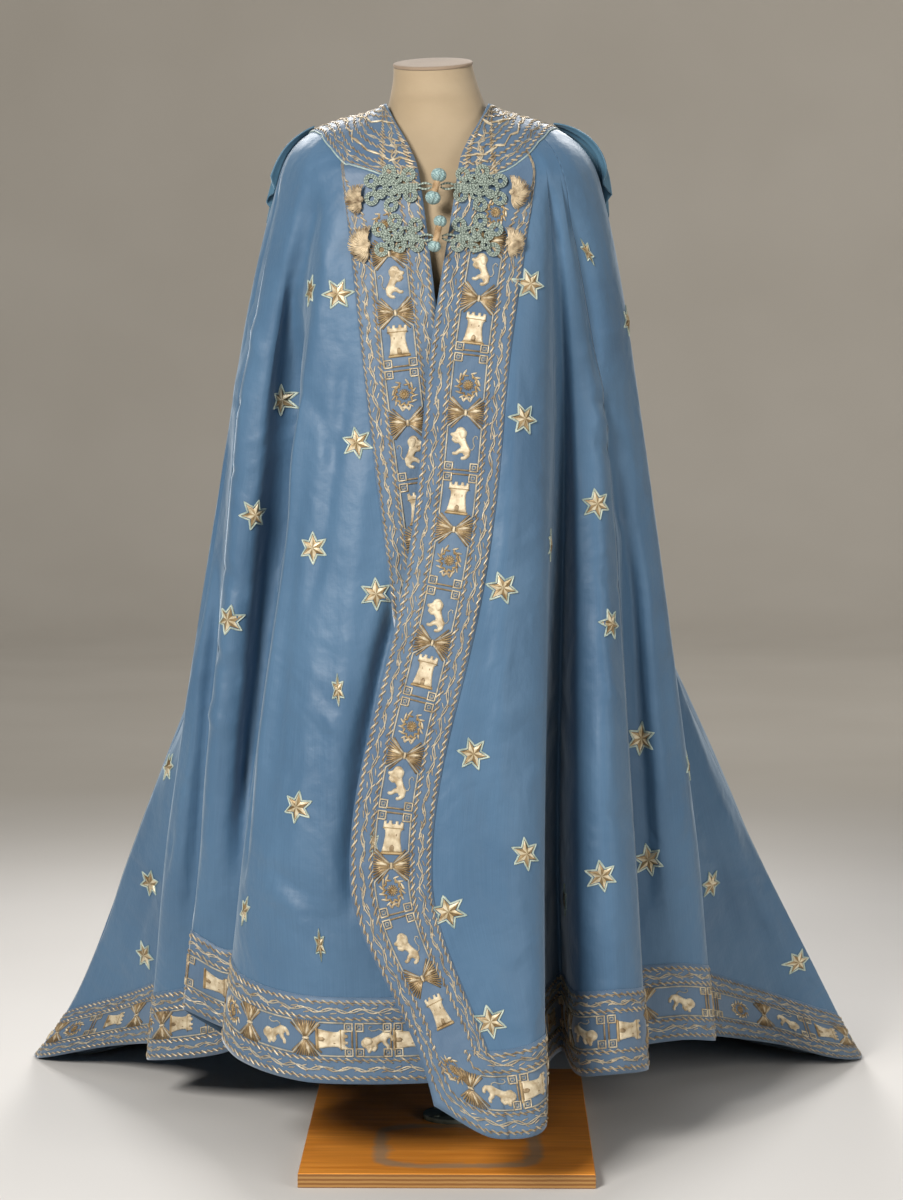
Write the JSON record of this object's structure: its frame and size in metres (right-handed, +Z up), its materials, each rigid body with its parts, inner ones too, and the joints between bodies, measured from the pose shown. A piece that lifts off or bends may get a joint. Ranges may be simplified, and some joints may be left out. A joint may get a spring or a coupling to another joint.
{
  "type": "silk mantle on a dress form",
  "caption": "Full-length blue silk mantle with train, embroidered borders, flat collar, gathered hood and corded frogs, on a limbless dress form with a wooden board.",
  "frame": {"origin": "middle of the whole model's footprint, at the height of the board's underside and of the train on the floor", "axes": "+Z up along the form, the wearer faces -Y, +X to the viewer's right when seen from the front"},
  "size_m": [1.3552, 1.2384, 1.5653],
  "materials": {
    "silk": "plain-woven silk with a soft sheen",
    "border_silk": "silk covered with couched metal thread",
    "hood_silk": "gathered silk, darker than the mantle",
    "linen": "matt linen stretched smooth",
    "cap_linen": "matt darker linen",
    "frog_cord": "braided cord",
    "toggle_thread": "tightly wound thread",
    "tassel_thread": "loose silk thread",
    "stand_steel": "dark enamel",
    "plywood": "varnished plywood with bare edges"
  },
  "bodies": {
    "root": {"back_left": "silk", "back_middle": "silk", "back_right": "silk", "side_left": "silk", "side_right": "silk", "front_left": "silk", "front_right": "silk", "front_border_left": "border_silk", "front_border_right": "border_silk", "hem_border_back": "border_silk", "hem_border_front_left": "border_silk", "hem_border_front_right": "border_silk", "hem_border_side_left": "border_silk", "hem_border_side_right": "border_silk", "collar": "border_silk", "hood": "hood_silk", "frog_upper_left": "frog_cord", "frog_upper_right": "frog_cord", "frog_lower_left": "frog_cord", "frog_lower_right": "frog_cord", "toggle_upper": "toggle_thread", "toggle_lower": "toggle_thread", "tassel_upper_left": "tassel_thread", "tassel_upper_right": "tassel_thread", "tassel_lower_left": "tassel_thread", "tassel_lower_right": "tassel_thread", "torso": "linen", "neck_cap": "cap_linen", "stand_pole": "stand_steel", "board": "plywood"}
  },
  "joints": []
}
